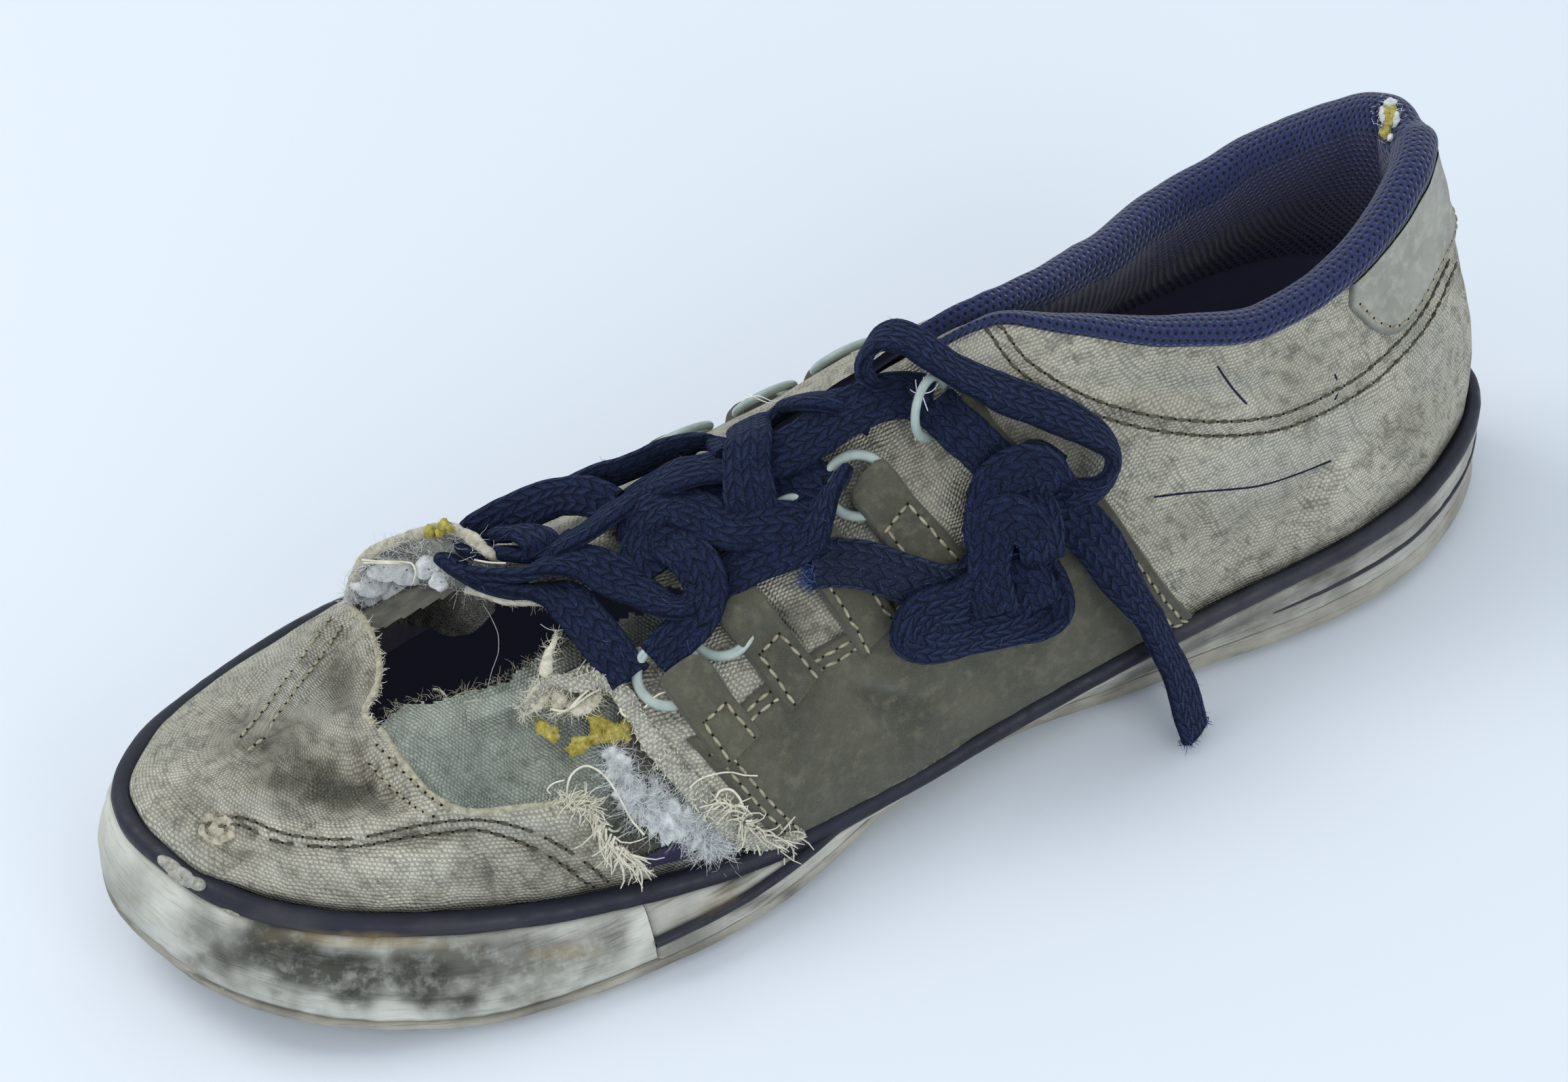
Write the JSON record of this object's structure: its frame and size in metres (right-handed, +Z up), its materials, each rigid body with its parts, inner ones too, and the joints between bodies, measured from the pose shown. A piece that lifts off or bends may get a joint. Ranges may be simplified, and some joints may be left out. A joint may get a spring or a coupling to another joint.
{
  "type": "worn out canvas sneaker",
  "caption": "Worn out low canvas sneaker, right shoe, with rubber cup sole, toe bumper, torn vamp, padded collar and laced plastic rings.",
  "frame": {"origin": "middle of the shoe's footprint, on the floor it stands on", "axes": "+X from toe to heel along the shoe, +Y from the medial to the lateral side, +Z up"},
  "size_m": [0.2932, 0.112, 0.0909],
  "materials": {
    "canvas": "matte",
    "rubber_wall": "matte",
    "rubber_dark": "satin",
    "rubber_sole": "matte",
    "mesh_navy": "matte",
    "footbed": "matte",
    "ring_plastic": "satin",
    "lace_navy": "matte",
    "suede": "matte"
  },
  "bodies": {
    "root": {"outsole": "rubber_sole", "sidewall": "rubber_wall", "foxing_band": "rubber_dark", "toe_bumper": "rubber_wall", "insole": "footbed", "upper": "canvas", "tongue": "mesh_navy", "collar_pad": "mesh_navy", "ring_medial_1": "ring_plastic", "ring_medial_2": "ring_plastic", "ring_medial_3": "ring_plastic", "ring_medial_4": "ring_plastic", "ring_medial_5": "ring_plastic", "ring_lateral_1": "ring_plastic", "ring_lateral_2": "ring_plastic", "ring_lateral_3": "ring_plastic", "ring_lateral_4": "ring_plastic", "ring_lateral_5": "ring_plastic", "lace_bars": "lace_navy", "lace_knot": "lace_navy", "lace_loop_flat": "lace_navy", "lace_tail_frayed": "lace_navy", "lace_tail_long": "lace_navy", "lace_loop_top": "lace_navy"}
  },
  "joints": []
}
